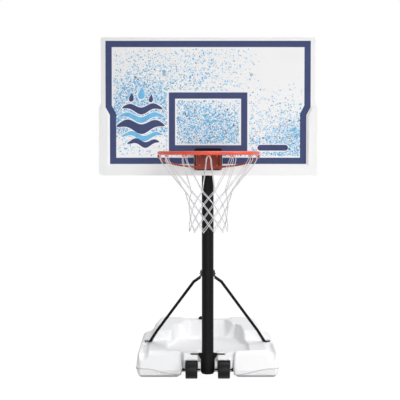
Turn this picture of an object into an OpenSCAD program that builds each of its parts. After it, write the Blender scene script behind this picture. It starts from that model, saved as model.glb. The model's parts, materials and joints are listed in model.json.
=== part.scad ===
// Poolside basketball hoop on a water-filled base, shown at its lowest rim height.
// X runs to the right seen from the court, -Y points to the court and +Z is up.
// The origin is on the ground, in the middle of the hoop's overall footprint.

/* [Heights and reach] */
// Height of the rim rod's centre above the ground at the lowest setting
rim_height = 1219; // [1150:1:1400]
// Travel of the sliding upper pole
lift_travel = 762; // [300:1:780]
// Distance from the pole axis to the front face of the board
board_reach = 290; // [270:1:420]
// Distance from the board's face to the middle of the rim
rim_reach = 380; // [360:1:440]

/* [Pole] */
// Outer diameter of the lower pole
pole_d = 63.5; // [55:0.5:70]
// Wall of the lower pole
pole_wall = 1.7; // [1.2:0.1:3]
// Wall of the sliding upper pole
upper_wall = 1.6; // [1.2:0.1:3]
// Gap all round between the two poles
slide_gap = 0.3; // [0.2:0.05:0.5]
// Length of the upper pole that stays in the lower one at full height
pole_overlap = 143; // [110:1:180]
// How far the upper pole stands above the rim
upper_rise = 526; // [480:1:560]
// How far the lower pole's top stands above the board's lower edge
lower_rise = 36; // [30:1:40]
// Height of the upper arms' pole bolt above the rim
arm_rise = 341; // [320:1:360]
// Depth of the lower arms' pole bolt below the rim
arm_drop = 34; // [26:1:44]
// Height of the plastic boot round the foot of the pole
boot_h = 118; // [112:1:150]
// Wall of the boot
boot_wall = 5; // [3:0.5:8]
// Height of the boot's underside above the ground
boot_foot = 23; // [14:1:30]
// Diameter of the rod that carries the pole
rod_d = 7; // [5:0.5:9]
// Length of that rod
rod_len = 184; // [150:1:186]

/* [Backboard] */
// Width of the board below the step
board_w = 1118; // [1000:1:1220]
// Width of the board above the step
board_upper_w = 1098; // [980:1:1200]
// Height of the board
board_h = 706; // [640:1:760]
// Thickness of the board
board_t = 38; // [25:1:50]
// How far the board's lower edge hangs below the rim
board_drop = 115; // [100:1:140]
// Height of the widening step above the board's lower edge
board_step = 350; // [250:1:420]
// Thickness of the front skin
board_skin = 5; // [3:0.5:8]
// Gap between the printed border and the bumper round the lower sides
bumper_gap = 10; // [4:1:16]
// How far the bumper stands proud of the face
bumper_raise = 10; // [4:1:16]
// Sideways place of each upper board bolt
board_bolt_x = 223; // [180:1:300]
// Height of the upper board bolts above the rim
board_bolt_rise = 401; // [340:1:440]
// Height over which the board widens at its step
board_slant = 18; // [8:1:30]

/* [Printed lines] */
// Width of the printed border and target lines
line_w = 32; // [20:1:45]
// Distance from the board's edge to the border above the step
border_side = 24; // [15:1:40]
// Distance from the board's edge to the border below the step
border_low_side = 56; // [48:1:80]
// Distance from the board's lower edge to the border
border_low_foot = 59; // [50:1:80]
// Distance from the board's upper edge to the border
border_head = 18; // [12:1:40]
// Height over which the border widens below the step
border_slant = 41; // [20:1:60]
// Height of the target box's lower edge above the rim
target_rise = 8; // [0:1:40]
// Width of the target box
target_w = 402; // [350:1:500]
// Height of the target box
target_h = 302; // [250:1:350]
// Thickness of the printed sheet
print_t = 0.5; // [0.3:0.1:1]

/* [Rim] */
// Inside diameter of the rim
rim_inside_d = 457; // [440:1:470]
// Diameter of the rim's rod
rim_rod = 18; // [12:0.5:20]
// Diameter of the support rod under the rim
support_rod = 10; // [8:0.5:12]
// Slope of the support rod
support_tilt = 13.8; // [10:0.1:16]
// Width of the bracket plate
bracket_w = 126; // [120:1:140]
// Height of the bracket plate
bracket_h = 92; // [86:1:100]
// How far the bracket plate reaches below the rim
bracket_drop = 84; // [76:1:86]
// Sheet thickness of the bracket
bracket_t = 4; // [3:0.5:6]
// Width of the backing plate
backing_w = 142; // [138:1:160]
// Height of the backing plate
backing_h = 112; // [108:1:130]
// Thickness of the backing plate
backing_t = 3; // [2:0.5:5]
// Number of net hooks
hook_count = 12; // [8:2:16]
// Diameter of the net's cord
net_cord = 4; // [3:0.5:6]
// Hung length of the net
net_len = 361; // [320:1:400]
// Drop of the net's first row of knots below its top
net_shoulder_drop = 165; // [140:1:180]
// Radius of the net at that row
net_shoulder_r = 116; // [104:1:130]
// Radius of the net at its neck
net_neck_r = 90; // [80:1:98]
// Radius of the net at its lower end
net_foot_r = 95; // [88:1:105]

/* [Braces] */
// Outer diameter of the brace tubes and upper arms
tube_d = 16; // [12:0.5:20]
// Height of the brace bolt above the ground
brace_z = 570; // [500:1:700]
// Distance of each brace foot from the base's moulded side
brace_foot_in = 44; // [42:1:90]
// Distance of each brace foot behind the pole axis
brace_foot_y = 318; // [240:1:322]
// How far each brace's bend lies from its foot bolt, seen from above
brace_run = 81; // [60:1:100]
// Height of each brace's bend above the lobe
brace_rise = 68; // [50:1:80]
// Sheet thickness of tabs and arms
tab_t = 4; // [3:0.5:6]
// Diameter of all bolts
bolt_d = 8; // [6:0.5:10]

/* [Base] */
// Width of the base at its moulded seam
base_w = 776; // [750:1:840]
// Distance from the pole axis to the rear of the base
base_rear = 985; // [940:1:1040]
// Height of the two side lobes
lobe_h = 152; // [146:1:170]
// Sideways place of each lobe's inner side
lobe_in = 138; // [138:1:150]
// Height of the rear block
block_h = 207; // [195:1:220]
// Width of the rear block at its moulded seam
block_w = 672; // [620:1:700]
// Wall of the moulded tank
tank_wall = 5; // [3:0.5:7]
// Depth of water in the tank
water_depth = 84; // [40:1:84]
// Diameter of the filler cap
cap_d = 46; // [36:1:48]
// Height of the filler cap
cap_h = 15; // [10:1:20]

/* [Wheels] */
// Diameter of each wheel
wheel_d = 97; // [80:1:98]
// Width of each wheel
wheel_w = 65; // [50:1:66]
// Distance between the middles of the wheels
wheel_track = 175; // [175:1:178]
// Height of the axle above the ground
axle_z = 50; // [49:0.5:56]
// Diameter of the axle
axle_d = 9; // [8:0.5:12]

/* [Hidden] */

// Small gaps shared by all the seats
seat_gap = 0.2;
free_gap = 0.3;
bolt_hole = bolt_d + 0.4;
eps = 0.01;
slim = 0.15;
finish_fn = 64;

// Places along the reach, measured from the pole axis
ring_r = rim_inside_d / 2 + rim_rod / 2;
board_face = -board_reach;
board_back = board_face + board_t;
rim_y = board_face - rim_reach;
front_end = rim_y - ring_r - rim_rod / 2;
pole_y = -(front_end + base_rear) / 2;

// Heights
board_z = rim_height - board_drop;
upper_top = rim_height + upper_rise;
lower_top = board_z + lower_rise;
upper_foot = lower_top - lift_travel - pole_overlap;
upper_len = upper_top - upper_foot;
rod_z = boot_foot + boot_h - 8;
pole_foot = boot_foot + boot_wall + free_gap;
arm_upper_z = rim_height + arm_rise;
arm_lower_z = rim_height - arm_drop;
board_bolt_z = rim_height + board_bolt_rise;

brace_foot_x = base_w / 2 - brace_foot_in;

// Pole sections
pole_r = pole_d / 2;
upper_r = pole_r - pole_wall - slide_gap;
boot_r = pole_r + free_gap + boot_wall;
arm_x = upper_r + free_gap;

// Colours
white = [0.93, 0.93, 0.93];
black = [0.13, 0.13, 0.14];
navy = [0.25, 0.29, 0.44];
orange = [0.82, 0.32, 0.2];
steel = [0.72, 0.73, 0.75];
cord_white = [0.88, 0.88, 0.89];
water_blue = [0.45, 0.66, 0.78];

// Moves a piece from the pole axis to its place in the overall footprint
module at_pole() {
    translate([0, pole_y, 0]) children();
}

// Direction of a vector
function unit(v) = v / norm(v);

// Inward offset of a convex outline that runs anticlockwise
function inward(p, q) = unit([p.y - q.y, q.x - p.x]);
function inset_outline(pts, d) = [
    for (i = [0:len(pts) - 1])
        let (
            a = pts[(i + len(pts) - 1) % len(pts)],
            b = pts[i],
            c = pts[(i + 1) % len(pts)],
            m = inward(a, b),
            n = inward(b, c)
        )
        b + (m + n) * d / (1 + m * n)
];

// Rounds every corner of an outline with a short curve
function round_outline(pts, r, n = 4) = [
    for (i = [0:len(pts) - 1])
        let (
            b = pts[i],
            a = b + r * unit(pts[(i + len(pts) - 1) % len(pts)] - b),
            c = b + r * unit(pts[(i + 1) % len(pts)] - b)
        )
        for (k = [0:n])
            let (t = k / n)
            (1 - t) * (1 - t) * a + 2 * t * (1 - t) * b + t * t * c
];

// Straight round bar between two points
module bar(a, b, d) {
    v = b - a;
    translate(a) rotate([0, acos(v.z / norm(v)), atan2(v.y, v.x)]) cylinder(d = d, h = norm(v), $fn = 32);
}

// Extrudes an outline drawn as X and Z back along Y from a given front
module slab_y(front, thick) {
    translate([0, front + thick, 0]) rotate([90, 0, 0]) linear_extrude(thick) children();
}

// Cylinder along X or Y from a starting point
module along_x(start, d, len) {
    translate(start) rotate([0, 90, 0]) cylinder(d = d, h = len, $fn = finish_fn);
}
module along_y(start, d, len) {
    translate(start) rotate([-90, 0, 0]) cylinder(d = d, h = len, $fn = finish_fn);
}

// Six-sided head or nut, standing on a flat with its axis up
nut_h = 6.5;
nut_d = bolt_d * 1.85;
module hexagon(h) {
    cylinder(d = nut_d, h = h, $fn = 6);
}
module nut() {
    difference() {
        hexagon(nut_h);
        translate([0, 0, -1]) cylinder(d = bolt_d + 0.1, h = nut_h + 2, $fn = finish_fn);
    }
}

// Bolt with a low round head below its start, shank up
module round_bolt(grip) {
    cylinder(d = bolt_d, h = grip + nut_h + 3, $fn = finish_fn);
    translate([0, 0, -3]) cylinder(d1 = bolt_d * 1.4, d2 = bolt_d * 2.1, h = 3, $fn = finish_fn);
}
module hex_bolt(grip) {
    cylinder(d = bolt_d, h = grip + nut_h + 3, $fn = finish_fn);
    translate([0, 0, -5.5]) hexagon(5.5);
}
function bolt_grip(stack) = stack + seat_gap;

// Base: one hollow moulding with two side lobes, a rear block, a sunken well and a chute
seam_z = 50;
lobe_back = 800;
lobe_front = -12;
block_front = 345;
lobe_levels = [
    [0, 34], [8, 18], [seam_z, 0], [lobe_h - 27, 8], [lobe_h - 9, 14], [lobe_h, 26]
];
block_levels = [
    [0, 34], [8, 18], [seam_z, 0], [block_h - 57, 14], [block_h - 12, 30], [block_h, 44]
];
lobe_outline = [
    [lobe_in, lobe_front], [base_w / 2, lobe_front], [base_w / 2, lobe_back - 110],
    [base_w / 2 - 55, lobe_back], [lobe_in, lobe_back]
];
block_outline = [
    [-block_w / 2, block_front], [block_w / 2, block_front], [block_w / 2, base_rear - 245],
    [block_w / 2 - 24, base_rear], [-block_w / 2 + 24, base_rear], [-block_w / 2, base_rear - 245]
];
hub_x = lobe_in - 8;
hub_front = -22;
hub_back = 75;
hub_top = 142;
hub_foot = axle_z - 12;
mid_foot = 24;
rod_seat = rod_z - rod_d / 2 - free_gap;
rod_bay = rod_len / 2 + 2;
ear_x = boot_r + 14;
axle_y = -12;
wheel_x = wheel_track / 2;
pocket_gap = 3.5;
bay_half = ear_x + 1.5;
bay_back = 130;
well_front_z = 136;
well_back_z = 120;
well_front = 20;
well_back = 640;
well_half = 220;
chute_front = 590;
chute_back = base_rear - 110;
chute_half = 106;
chute_flare = 48;
scoop_r = 70;
lip_z = block_h - 9;
flute_x = base_w / 2 - 42;
flute_r = 22;
cap_x = -28;
cap_y = base_rear - 75;
neck_d = cap_d - 16;

// One moulded block: the outline is drawn in a little at each level
module moulded(outline, levels, wall = 0) {
    top = levels[len(levels) - 1][0];
    hull()
        for (level = levels) {
            z = min(max(level[0], wall), top - wall);
            translate([0, 0, z - (z > seam_z ? eps : 0)])
                linear_extrude(eps)
                    polygon(round_outline(inset_outline(outline, level[1] + wall), 24));
        }
}

// Cut of the sunken well, whose floor slopes down to the rear, grown by a wall thickness
module well_cut(grow = 0) {
    tilt = atan((well_front_z - well_back_z) / (well_back - well_front));
    half = [
        [well_half - 3, well_front], [well_half, 250], [well_half - 10, 345],
        [well_half - 28, 410], [well_half - 40, 560], [well_half - 62, well_back]
    ];
    outline = concat(half, [for (i = [len(half) - 1:-1:0]) [-half[i].x, half[i].y]]);
    translate([0, well_front, well_front_z - grow])
        rotate([-tilt, 0, 0])
            linear_extrude(160)
                translate([0, -well_front])
                    polygon(round_outline(inset_outline(outline, -grow), 12));
}

// Cut of the chute that climbs from the well to the rear lip
module chute_cut(grow = 0) {
    run = chute_back - chute_front;
    rise = atan((lip_z - 2 - well_back_z) / run);
    translate([0, chute_front - grow, well_back_z - grow])
        rotate([rise, 0, 0])
            translate([0, run / cos(rise) + 2 * grow, 0])
                rotate([90, 0, 0])
                    linear_extrude(run / cos(rise) + 2 * grow)
                        polygon([
                            [-chute_half - grow, 0], [chute_half + grow, 0],
                            [chute_half + grow + chute_flare, 90], [-chute_half - grow - chute_flare, 90]
                        ]);
}

// Round scoop across the foot of the chute
module scoop_cut(grow = 0) {
    half = chute_half - 12 + grow;
    along_x([-half, well_back, well_back_z + scoop_r - 6], 2 * (scoop_r + grow), 2 * half);
}

// Flute in the top of each lobe that runs from the brace's foot down over the front corner
module flute_cut(grow = 0) {
    top = [flute_x, 20, lobe_h + 8];
    for (side = [0, 1])
        mirror([side, 0, 0]) {
            bar([flute_x, brace_foot_y - 36, lobe_h + 8], top, 2 * (flute_r + grow));
            bar(top, [flute_x + 4, lobe_front - 24, lobe_h - 48], 2 * (flute_r + grow));
            translate(top) sphere(r = flute_r + grow, $fn = 32);
        }
}

// Shallow bay behind the pole
module bay_cut(grow = 0) {
    translate([-bay_half - grow, hub_front - 40, rod_seat - grow])
        cube([2 * (bay_half + grow), bay_back + grow + 40 - hub_front, 200]);
}

// Flat ledge at the rear of the chute, which carries the filler cap
module lip_cut(grow = 0) {
    half = chute_half + chute_flare - 6 + grow;
    translate([-half, chute_back - 20, lip_z - grow]) cube([2 * half, 200, 100]);
}

// Space inside the tank
module tank_space(wall) {
    difference() {
        union() {
            for (side = [0, 1])
                mirror([side, 0, 0]) moulded(lobe_outline, lobe_levels, wall);
            moulded(block_outline, block_levels, wall);
            translate([-lobe_in - 30, hub_back + wall, mid_foot + wall])
                cube([2 * lobe_in + 60, block_front + 60 - hub_back, hub_top - mid_foot - 2 * wall]);
        }
        well_cut(wall);
        chute_cut(wall);
        scoop_cut(wall);
        flute_cut(wall);
        bay_cut(wall);
        lip_cut(wall);
    }
}

module tank_body() {
    for (side = [0, 1])
        mirror([side, 0, 0]) moulded(lobe_outline, lobe_levels);
    moulded(block_outline, block_levels);
    translate([-lobe_in - 40, hub_back - 15, mid_foot])
        cube([2 * lobe_in + 80, block_front + 70 - hub_back, hub_top - mid_foot]);
    translate([-hub_x, hub_front, hub_foot])
        cube([2 * hub_x, hub_back - hub_front, hub_top - hub_foot]);
}

module base_tank() {
    color(white) at_pole() difference() {
        tank_body();
        well_cut();
        chute_cut();
        scoop_cut();
        flute_cut();
        bay_cut();
        lip_cut();
        tank_space(tank_wall);
        // Pockets over the wheels
        for (side = [-1, 1])
            translate([side * wheel_x - wheel_w / 2 - 1.5, hub_front - 40, -1])
                cube([
                    wheel_w + 3, axle_y + wheel_d / 2 + pocket_gap - hub_front + 40,
                    axle_z + wheel_d / 2 + pocket_gap + 1
                ]);
        // Bay for the pole's boot, open to the front, with a ledge for the rod
        translate([0, 0, -1]) cylinder(r = boot_r + 1, h = 300, $fn = finish_fn);
        translate([-boot_r - 1, hub_front - 40, -1]) cube([2 * boot_r + 2, 40 - hub_front, 300]);
        translate([-ear_x - 1.5, hub_front - 40, boot_foot + 70]) cube([2 * ear_x + 3, 49 - hub_front, 200]);
        translate([-rod_bay, hub_front - 40, rod_seat]) cube([2 * rod_bay, 49 - hub_front, 200]);
        for (side = [0, 1])
            mirror([side, 0, 0]) along_x([axle_in, axle_y, axle_z], axle_d + 0.2, hub_x + 1 - axle_in);
        translate([cap_x, cap_y, lip_z - 40]) cylinder(d = neck_d, h = 60, $fn = finish_fn);
        for (side = [-1, 1])
            translate([side * brace_foot_x, brace_foot_y, lobe_h - 30])
                cylinder(d = bolt_hole, h = 60, $fn = finish_fn);
    }
}

// Water that fills the tank's inside up to its level
module water_ballast() {
    color(water_blue) at_pole() intersection() {
        tank_space(tank_wall + free_gap);
        translate([-base_w / 2, lobe_front, 0])
            cube([base_w, base_rear - lobe_front, tank_wall + free_gap + water_depth]);
    }
}

// Push-in filler cap with a grip rib across its top
module filler_cap() {
    color(black) at_pole() translate([cap_x, cap_y, lip_z + seat_gap]) {
        cylinder(d = cap_d, h = cap_h - 7, $fn = finish_fn);
        translate([0, 0, -14]) cylinder(d = neck_d - 2 * free_gap, h = 15, $fn = finish_fn);
        translate([-cap_d / 2 + 6, -4, 0]) cube([cap_d - 12, 8, cap_h]);
    }
}

// Wheels, each on a short axle between two walls of the base
axle_cap_gap = 0.3;
axle_in = boot_r + 2.5;
axle_cap_t = 6.5;
axle_len = hub_x + axle_cap_gap + axle_cap_t - axle_in;
module axle(side) {
    color(steel) at_pole() mirror([side < 0 ? 1 : 0, 0, 0]) along_x([axle_in, axle_y, axle_z], axle_d, axle_len);
}
module axle_left() {
    axle(-1);
}
module axle_right() {
    axle(1);
}
module axle_cap(side) {
    color(black) at_pole() translate([side * (hub_x + axle_cap_gap), axle_y, axle_z])
        rotate([0, side * 90, 0])
            difference() {
                cylinder(d = axle_d + 10, h = axle_cap_t, $fn = finish_fn);
                translate([0, 0, -1]) cylinder(d = axle_d + 0.1, h = axle_cap_t + 2, $fn = finish_fn);
            }
}
module axle_cap_left() {
    axle_cap(-1);
}
module axle_cap_right() {
    axle_cap(1);
}

// Wheel turned from a half section: hub, web and tyre band
module wheel(side) {
    r = wheel_d / 2;
    half = wheel_w / 2;
    bore = axle_d / 2 + 0.15;
    section = [
        [bore, -half], [bore + 8, -half], [bore + 8, -8], [r - 8, -8], [r - 8, -half],
        [r - 4, -half], [r - 1.2, -half + 1.2], [r, -half + 4], [r, half - 4],
        [r - 1.2, half - 1.2], [r - 4, half], [r - 8, half], [r - 8, 8], [bore + 8, 8],
        [bore + 8, half], [bore, half]
    ];
    color(black) at_pole() translate([side * wheel_x, axle_y, axle_z])
        rotate([0, 90, 0]) rotate_extrude($fn = finish_fn) polygon(section);
}
module wheel_left() {
    wheel(-1);
}
module wheel_right() {
    wheel(1);
}

// Plastic boot with a rounded foot and two ears for the rod
module pole_boot() {
    in = pole_r + seat_gap;
    top = boot_foot + boot_h;
    section = [
        [0, boot_foot], [boot_r - 14, boot_foot + 2.5], [boot_r - 6, boot_foot + 6],
        [boot_r - 1.5, boot_foot + 12], [boot_r, boot_foot + 20], [boot_r, top - 8],
        [boot_r - 3, top], [in, top], [in, pole_foot - seat_gap], [0, pole_foot - seat_gap]
    ];
    ear = [
        [in + 1, top - 1], [ear_x - 3, rod_z + 6], [ear_x, rod_z + 4],
        [ear_x, rod_z - 5], [boot_r - 0.5, rod_z - 30], [in + 1, rod_z - 30]
    ];
    color(black) at_pole() difference() {
        union() {
            rotate_extrude($fn = finish_fn) polygon(section);
            for (side = [0, 1])
                mirror([side, 0, 0]) slab_y(-4, 8) polygon(ear);
        }
        along_x([-100, 0, rod_z], rod_d + 0.4, 200);
    }
}
module pole_rod() {
    color(steel) at_pole() along_x([-rod_len / 2, 0, rod_z], rod_d, rod_len);
}

// Lower pole with its cross holes for the rod and the clamp screw
clamp_z = lower_top - 20;
clamp_d = 10;
module lower_pole() {
    color(black) at_pole() difference() {
        translate([0, 0, pole_foot]) cylinder(r = pole_r, h = lower_top - pole_foot, $fn = finish_fn);
        translate([0, 0, pole_foot - 1])
            cylinder(r = pole_r - pole_wall, h = lower_top - pole_foot + 2, $fn = finish_fn);
        along_x([-100, 0, rod_z], rod_d + 0.4, 200);
        along_y([0, 0, clamp_z], clamp_d + 0.6, 100);
    }
}

// Band round the pole, with two ears behind it that carry the braces
band_h = 30;
band_x = pole_r + seat_gap;
band_y = pole_r + 14;
ear_out = band_x + tab_t;
module brace_band() {
    color(black) at_pole() difference() {
        union() {
            translate([0, 0, brace_z - band_h / 2]) cylinder(r = ear_out, h = band_h, $fn = finish_fn);
            for (side = [0, 1])
                mirror([side, 0, 0])
                    translate([band_x, 0, brace_z - band_h / 2]) cube([tab_t, band_y + 12, band_h]);
        }
        translate([0, 0, brace_z - band_h]) cylinder(r = band_x, h = 2 * band_h, $fn = finish_fn);
        translate([-band_x, pole_r * 0.6, brace_z - band_h]) cube([2 * band_x, 60, 2 * band_h]);
        along_x([-100, band_y, brace_z], bolt_hole, 200);
    }
}

// Brace tube with flattened ends: an upright tab at the band and a flat foot on the lobe
brace_top = [ear_out + seat_gap, band_y, brace_z];
brace_foot = [brace_foot_x, brace_foot_y, lobe_h + seat_gap];
brace_plan = unit([brace_foot.x - brace_top.x, brace_foot.y - brace_top.y]);
brace_bend = brace_foot + [-brace_run * brace_plan.x, -brace_run * brace_plan.y, brace_rise];
brace_way = unit(brace_bend - brace_top);
brace_lean = atan2(brace_way.y, -brace_way.z);
brace_turn = atan2(-brace_plan.y, -brace_plan.x);
module brace(side) {
    near = brace_top + 70 * brace_way + [tab_t / 2, 0, 0];
    far = brace_bend;
    color(black) at_pole() mirror([side < 0 ? 1 : 0, 0, 0]) difference() {
        union() {
            bar(near, far, tube_d);
            translate(brace_top) rotate([brace_lean, 0, 0]) {
                rotate([0, 90, 0]) cylinder(d = 26, h = tab_t, $fn = finish_fn);
                translate([0, -13, -30]) cube([tab_t, 26, 30]);
            }
            hull() {
                translate(brace_top) rotate([brace_lean, 0, 0])
                    translate([slim, slim - 13, slim - 30]) cube([tab_t - 2 * slim, 26 - 2 * slim, 2]);
                bar(near + brace_way, near + 4 * brace_way, tube_d - 0.6);
            }
            translate(brace_foot) rotate([0, 0, brace_turn]) {
                cylinder(d = 28, h = tab_t, $fn = finish_fn);
                translate([0, -14, 0]) cube([30, 28, tab_t]);
            }
            hull() {
                translate(brace_foot) rotate([0, 0, brace_turn])
                    translate([28 - slim, slim - 14, slim]) cube([2, 28 - 2 * slim, tab_t - 2 * slim]);
                bar(far - 0.5 * brace_way, far + 3 * brace_way, tube_d - 0.6);
            }
        }
        along_x([0, band_y, brace_z], bolt_hole, 200);
        translate([brace_foot_x, brace_foot_y, 0]) cylinder(d = bolt_hole, h = 400, $fn = finish_fn);
    }
}
module brace_left() {
    brace(-1);
}
module brace_right() {
    brace(1);
}

// Long bolt through the band's ears and both braces, with its nut
brace_stack = ear_out + seat_gap + tab_t + seat_gap;
module brace_bolt() {
    color(steel) at_pole() translate([-brace_stack, band_y, brace_z]) rotate([0, 90, 0])
        hex_bolt(2 * brace_stack);
}
module brace_nut() {
    color(steel) at_pole() translate([brace_stack, band_y, brace_z]) rotate([0, 90, 0]) nut();
}
module foot_bolt(side) {
    color(steel) at_pole()
        translate([side * brace_foot_x, brace_foot_y, lobe_h + 2 * seat_gap + tab_t]) {
            hexagon(5.5);
            translate([0, 0, -24]) cylinder(d = bolt_d, h = 24, $fn = finish_fn);
        }
}
module foot_bolt_left() {
    foot_bolt(-1);
}
module foot_bolt_right() {
    foot_bolt(1);
}

// Clamp at the top of the lower pole: collar, screw and knob
collar_h = 38;
collar_r = pole_r + seat_gap + 6;
boss_end = collar_r + 18;
module clamp_collar() {
    color(black) at_pole() difference() {
        union() {
            translate([0, 0, lower_top - collar_h]) cylinder(r = collar_r, h = collar_h, $fn = finish_fn);
            along_y([0, pole_r + 3, clamp_z], clamp_d + 14, boss_end - pole_r - 3);
        }
        translate([0, 0, lower_top - collar_h - 1])
            cylinder(r = pole_r + seat_gap, h = collar_h + 2, $fn = finish_fn);
        along_y([0, 0, clamp_z], clamp_d + 0.4, 200);
    }
}
module clamp_screw() {
    color(steel) at_pole()
        along_y([0, upper_r + free_gap, clamp_z], clamp_d, boss_end - upper_r + 14);
}
module clamp_knob() {
    lobes = 6;
    start = boss_end + 1;
    color(black) at_pole() translate([0, start, clamp_z]) rotate([-90, 0, 0]) difference() {
        union() {
            cylinder(d = 38, h = 22, $fn = finish_fn);
            for (i = [1:lobes])
                rotate([0, 0, i * 360 / lobes]) translate([17, 0, 0]) cylinder(d = 14, h = 22, $fn = 32);
        }
        translate([0, 0, -1]) cylinder(d = clamp_d + 0.1, h = 16, $fn = finish_fn);
    }
}

// Upper pole, which slides in the lower one and carries the board
module upper_pole() {
    color(black) at_pole() difference() {
        translate([0, 0, upper_foot]) cylinder(r = upper_r, h = upper_len, $fn = finish_fn);
        translate([0, 0, upper_foot - 1]) cylinder(r = upper_r - upper_wall, h = upper_len + 2, $fn = finish_fn);
        along_x([-100, 0, arm_upper_z], bolt_hole, 200);
        along_x([-100, 0, arm_lower_z], bolt_hole, 200);
    }
}
module pole_cap() {
    color(black) at_pole() translate([0, 0, upper_top]) {
        translate([0, 0, seat_gap]) cylinder(r = upper_r, h = 4, $fn = finish_fn);
        translate([0, 0, -18]) cylinder(r = upper_r - upper_wall - seat_gap, h = 19, $fn = finish_fn);
    }
}

// Upper arm: a tube with flattened ends, from the pole's side out to the board's back
arm_start = [arm_x, 0, arm_upper_z];
arm_end = [board_bolt_x, board_back + free_gap, board_bolt_z];
arm_way = unit(arm_end - arm_start);
arm_lean = -atan2(arm_way.z, -arm_way.y);
arm_roll = atan2(arm_way.z, arm_way.x);
module arm_upper(side) {
    near = arm_start + 62 * arm_way + [tab_t / 2, 0, 0];
    far = arm_end - 60 * arm_way + [0, tab_t / 2, 0];
    color(black) at_pole() mirror([side < 0 ? 1 : 0, 0, 0]) difference() {
        union() {
            bar(near, far, tube_d);
            translate(arm_start) rotate([arm_lean, 0, 0]) {
                rotate([0, 90, 0]) cylinder(d = 28, h = tab_t, $fn = finish_fn);
                translate([0, -30, -14]) cube([tab_t, 30, 28]);
            }
            hull() {
                translate(arm_start) rotate([arm_lean, 0, 0])
                    translate([slim, -30 + slim, slim - 14]) cube([tab_t - 2 * slim, 2, 28 - 2 * slim]);
                bar(near + arm_way, near + 4 * arm_way, tube_d - 0.6);
            }
            translate(arm_end) rotate([0, -arm_roll, 0]) {
                rotate([-90, 0, 0]) cylinder(d = 30, h = tab_t, $fn = finish_fn);
                translate([-30, 0, -15]) cube([30, tab_t, 30]);
            }
            hull() {
                translate(arm_end) rotate([0, -arm_roll, 0])
                    translate([slim - 30, slim, slim - 15]) cube([2, tab_t - 2 * slim, 30 - 2 * slim]);
                bar(far - 4 * arm_way, far - arm_way, tube_d - 0.6);
            }
        }
        along_x([0, 0, arm_upper_z], bolt_hole, 100);
        along_y([board_bolt_x, board_back - 10, board_bolt_z], bolt_hole, 60);
    }
}
module arm_upper_left() {
    arm_upper(-1);
}
module arm_upper_right() {
    arm_upper(1);
}

// Lower arm: a bent plate from the pole's side to the back of the rim's bolts
rim_bolt_x = bracket_w / 2 - 18;
plate_low = rim_height - bracket_drop;
rim_bolt_low = plate_low + 20;
rim_bolt_high = plate_low + bracket_h - 21;
backing_low = plate_low - 4;
backing_room = 2;
module arm_lower(side) {
    back = board_back + free_gap;
    plate = [
        [0, arm_lower_z + 14], [back + 70, plate_low + bracket_h - 13], [back, plate_low + bracket_h],
        [back, plate_low], [back + 70, plate_low + 19], [0, arm_lower_z - 14]
    ];
    color(black) at_pole() mirror([side < 0 ? 1 : 0, 0, 0]) difference() {
        union() {
            translate([arm_x, 0, 0]) rotate([90, 0, 90]) linear_extrude(tab_t) polygon(plate);
            along_x([arm_x, 0, arm_lower_z], 28, tab_t);
            translate([arm_x, back, plate_low])
                cube([rim_bolt_x + 16 - arm_x, tab_t, bracket_h]);
        }
        along_x([0, 0, arm_lower_z], bolt_hole, 100);
        for (z = [rim_bolt_low, rim_bolt_high])
            along_y([rim_bolt_x, back - 10, z], bolt_hole, 60);
    }
}
module arm_lower_left() {
    arm_lower(-1);
}
module arm_lower_right() {
    arm_lower(1);
}

// Cross bolts of the arms
arm_stack = arm_x + tab_t + seat_gap;
module arm_bolt(z) {
    color(steel) at_pole() translate([-arm_stack, 0, z]) rotate([0, 90, 0]) hex_bolt(2 * arm_stack);
}
module arm_nut(z) {
    color(steel) at_pole() translate([arm_stack, 0, z]) rotate([0, 90, 0]) nut();
}
module arm_bolt_upper() {
    arm_bolt(arm_upper_z);
}
module arm_nut_upper() {
    arm_nut(arm_upper_z);
}
module arm_bolt_lower() {
    arm_bolt(arm_lower_z);
}
module arm_nut_lower() {
    arm_nut(arm_lower_z);
}

// Board: a skin with a walled back, ribs, bolt bosses and a bumper round the lower sides
board_top = board_z + board_h;
step_z = board_z + board_step;
board_outline = [
    [-board_w / 2, board_z], [board_w / 2, board_z], [board_w / 2, step_z],
    [board_upper_w / 2, step_z + board_slant], [board_upper_w / 2, board_top],
    [-board_upper_w / 2, board_top], [-board_upper_w / 2, step_z + board_slant], [-board_w / 2, step_z]
];
edge_wall = 9;
rib_t = 5;
rib_cols = 7;
rib_rows = 4;
module board_shape(d = 0) {
    polygon(round_outline(inset_outline(board_outline, d), 12 - min(d, 6)));
}
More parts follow.
